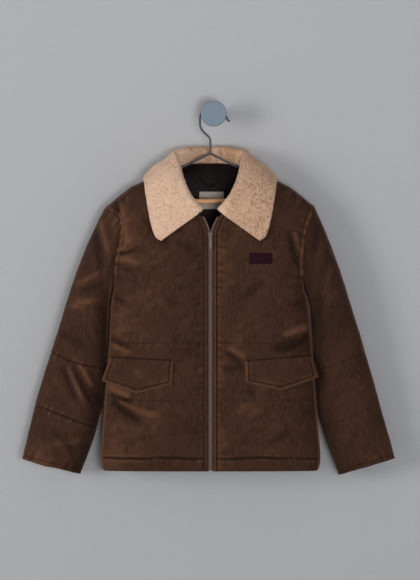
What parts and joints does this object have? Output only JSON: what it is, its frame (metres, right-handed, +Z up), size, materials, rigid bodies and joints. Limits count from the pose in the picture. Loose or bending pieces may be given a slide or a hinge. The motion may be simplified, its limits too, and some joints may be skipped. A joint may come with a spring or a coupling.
{
  "type": "corduroy jacket on a hanger and wall knob",
  "caption": "Child's brown corduroy zip jacket with a cream pile collar, on a wire hanger that hangs from a round wall knob.",
  "frame": {"origin": "centre of the wall knob's back face, on the wall", "axes": "+Z up; the wall is the plane Y = 0 and +Y points into it; the jacket's front faces -Y; +X is the wearer's left, the viewer's right"},
  "size_m": [0.709, 0.1243, 0.7108],
  "materials": {
    "corduroy": "dark brown fine-wale corduroy, dull with a soft nap",
    "pile": "cream curly pile",
    "zip": "brown woven tape with brown teeth",
    "metal": "dark, satin",
    "patch": "plum, woven",
    "label": "pale satin weave",
    "loop": "black-brown cord",
    "wire": "dark steel wire",
    "wood": "honey, satin varnish",
    "knob": "blue-grey satin paint"
  },
  "bodies": {
    "jacket": {"front_right": "corduroy", "front_left": "corduroy", "back": "corduroy", "sleeve_right": "corduroy", "sleeve_left": "corduroy", "collar": "pile", "flap_right": "corduroy", "flap_left": "corduroy", "zip_right": "zip", "zip_left": "zip", "zip_slider": "metal", "chest_patch": "patch", "neck_label": "label", "hang_loop": "loop", "hanger_frame": "wire", "hanger_hook": "wire", "hanger_bar": "wood", "wall_knob": "knob"},
    "zip_tab": {"zip_pull": "metal"}
  },
  "joints": [
    {"name": "zip_tab_hinge", "type": "hinge", "parent": "jacket", "child": "zip_tab", "pos_m": [-0.0065, -0.1137, -0.2302], "axis": [-1, 0, 0], "range_deg": [0, 170]}
  ]
}
